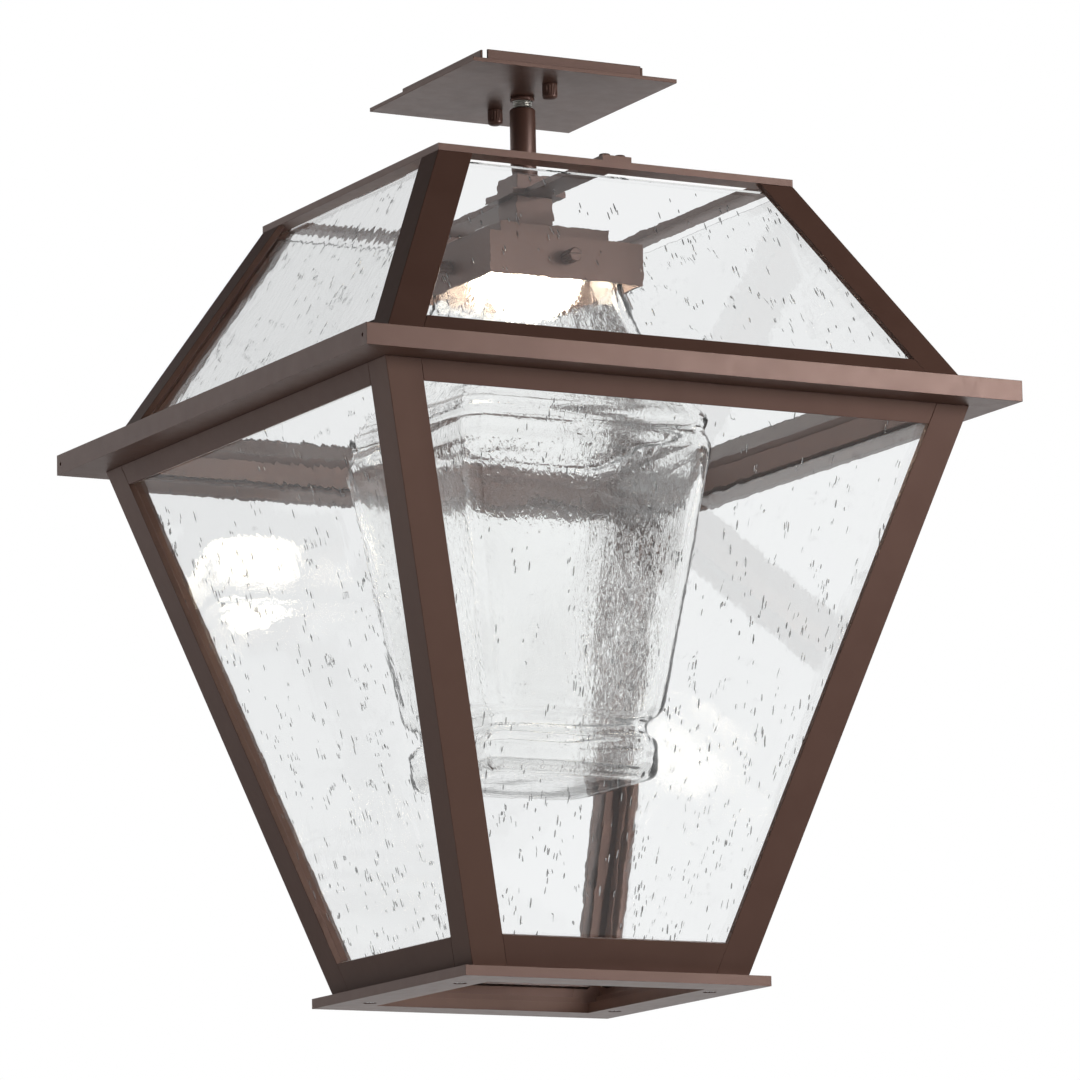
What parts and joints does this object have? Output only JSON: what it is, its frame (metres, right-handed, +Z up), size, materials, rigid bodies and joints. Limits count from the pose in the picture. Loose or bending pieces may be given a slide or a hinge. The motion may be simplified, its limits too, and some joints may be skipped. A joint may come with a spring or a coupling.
{
  "type": "porch ceiling lantern",
  "caption": "Square tapered porch ceiling lantern with seeded glass panes, a wide flange, a glass roof, a cast inner glass shade and a short stem under a square ceiling plate.",
  "frame": {"origin": "centre of the ceiling mounting face, midway between the two ceiling box screws", "axes": "+Z up into the ceiling, the lantern hangs towards -Z; -Y is the front, +X the right"},
  "size_m": [0.3556, 0.3556, 0.4634],
  "materials": {
    "bronze_finish": "dark bronze powder coat, satin",
    "zinc_steel": "zinc plated",
    "screw_steel": "bright steel",
    "ground_green": "green lacquer",
    "seeded_glass": "clear glass with small drawn-out bubbles",
    "cast_glass": "clear cast glass, wavy and seeded",
    "heat_sink": "turned",
    "board": "white solder mask",
    "lens": "frosted diffuser, lit",
    "gasket": "matte silicone"
  },
  "bodies": {
    "lantern": {"mounting_bracket": "zinc_steel", "bracket_studs": "zinc_steel", "ground_screw": "ground_green", "canopy_pan": "zinc_steel", "canopy_plate": "bronze_finish", "canopy_nipple": "zinc_steel", "lock_nuts": "zinc_steel", "stem_washer": "bronze_finish", "stem": "bronze_finish", "stem_spacer": "bronze_finish", "roof_bridge": "bronze_finish", "bridge_screws": "bronze_finish", "center_nipple": "zinc_steel", "center_tube": "bronze_finish", "fitter_cap": "bronze_finish", "fitter_box": "bronze_finish", "led_heat_sink": "heat_sink", "led_board": "board", "led_lens": "lens", "glass_gasket": "gasket", "inner_glass": "cast_glass", "roof_post_front_right": "bronze_finish", "roof_post_back_right": "bronze_finish", "roof_post_back_left": "bronze_finish", "roof_post_front_left": "bronze_finish", "roof_lower_rail_front": "bronze_finish", "roof_lower_rail_right": "bronze_finish", "roof_lower_rail_back": "bronze_finish", "roof_lower_rail_left": "bronze_finish", "roof_top_rails": "bronze_finish", "roof_pane_front": "seeded_glass", "roof_pane_right": "seeded_glass", "roof_pane_back": "seeded_glass", "roof_pane_left": "seeded_glass", "roof_glass_stops": "bronze_finish", "flange_bar_front": "bronze_finish", "flange_bar_right": "bronze_finish", "flange_bar_back": "bronze_finish", "flange_bar_left": "bronze_finish", "flange_pins": "bronze_finish", "body_post_front_right": "bronze_finish", "body_post_back_right": "bronze_finish", "body_post_back_left": "bronze_finish", "body_post_front_left": "bronze_finish", "body_top_rails": "bronze_finish", "body_bottom_rails": "bronze_finish", "body_pane_front": "seeded_glass", "body_pane_right": "seeded_glass", "body_pane_back": "seeded_glass", "body_pane_left": "seeded_glass", "body_glass_stops": "bronze_finish", "bottom_ring": "bronze_finish", "ring_screws": "screw_steel"},
    "cap_nut_front": {"cap_nut_front": "bronze_finish"},
    "cap_nut_back": {"cap_nut_back": "bronze_finish"},
    "thumb_screw_front": {"thumb_screw_front": "bronze_finish"},
    "thumb_screw_right": {"thumb_screw_right": "bronze_finish"},
    "thumb_screw_back": {"thumb_screw_back": "bronze_finish"},
    "thumb_screw_left": {"thumb_screw_left": "bronze_finish"}
  },
  "joints": [
    {"name": "cap_nut_front_turn", "type": "hinge", "parent": "lantern", "child": "cap_nut_front", "pos_m": [0, -0.0295, -0.014], "axis": [0, 0, 1], "continuous": true},
    {"name": "cap_nut_back_turn", "type": "hinge", "parent": "lantern", "child": "cap_nut_back", "pos_m": [0, 0.0295, -0.014], "axis": [0, 0, 1], "continuous": true},
    {"name": "thumb_screw_front_turn", "type": "hinge", "parent": "lantern", "child": "thumb_screw_front", "pos_m": [0, -0.0429, -0.1021], "axis": [0, -1, 0], "continuous": true},
    {"name": "thumb_screw_right_turn", "type": "hinge", "parent": "lantern", "child": "thumb_screw_right", "pos_m": [0.0429, 0, -0.1021], "axis": [1, 0, 0], "continuous": true},
    {"name": "thumb_screw_back_turn", "type": "hinge", "parent": "lantern", "child": "thumb_screw_back", "pos_m": [0, 0.0429, -0.1021], "axis": [0, 1, 0], "continuous": true},
    {"name": "thumb_screw_left_turn", "type": "hinge", "parent": "lantern", "child": "thumb_screw_left", "pos_m": [-0.0429, 0, -0.1021], "axis": [-1, 0, 0], "continuous": true}
  ]
}
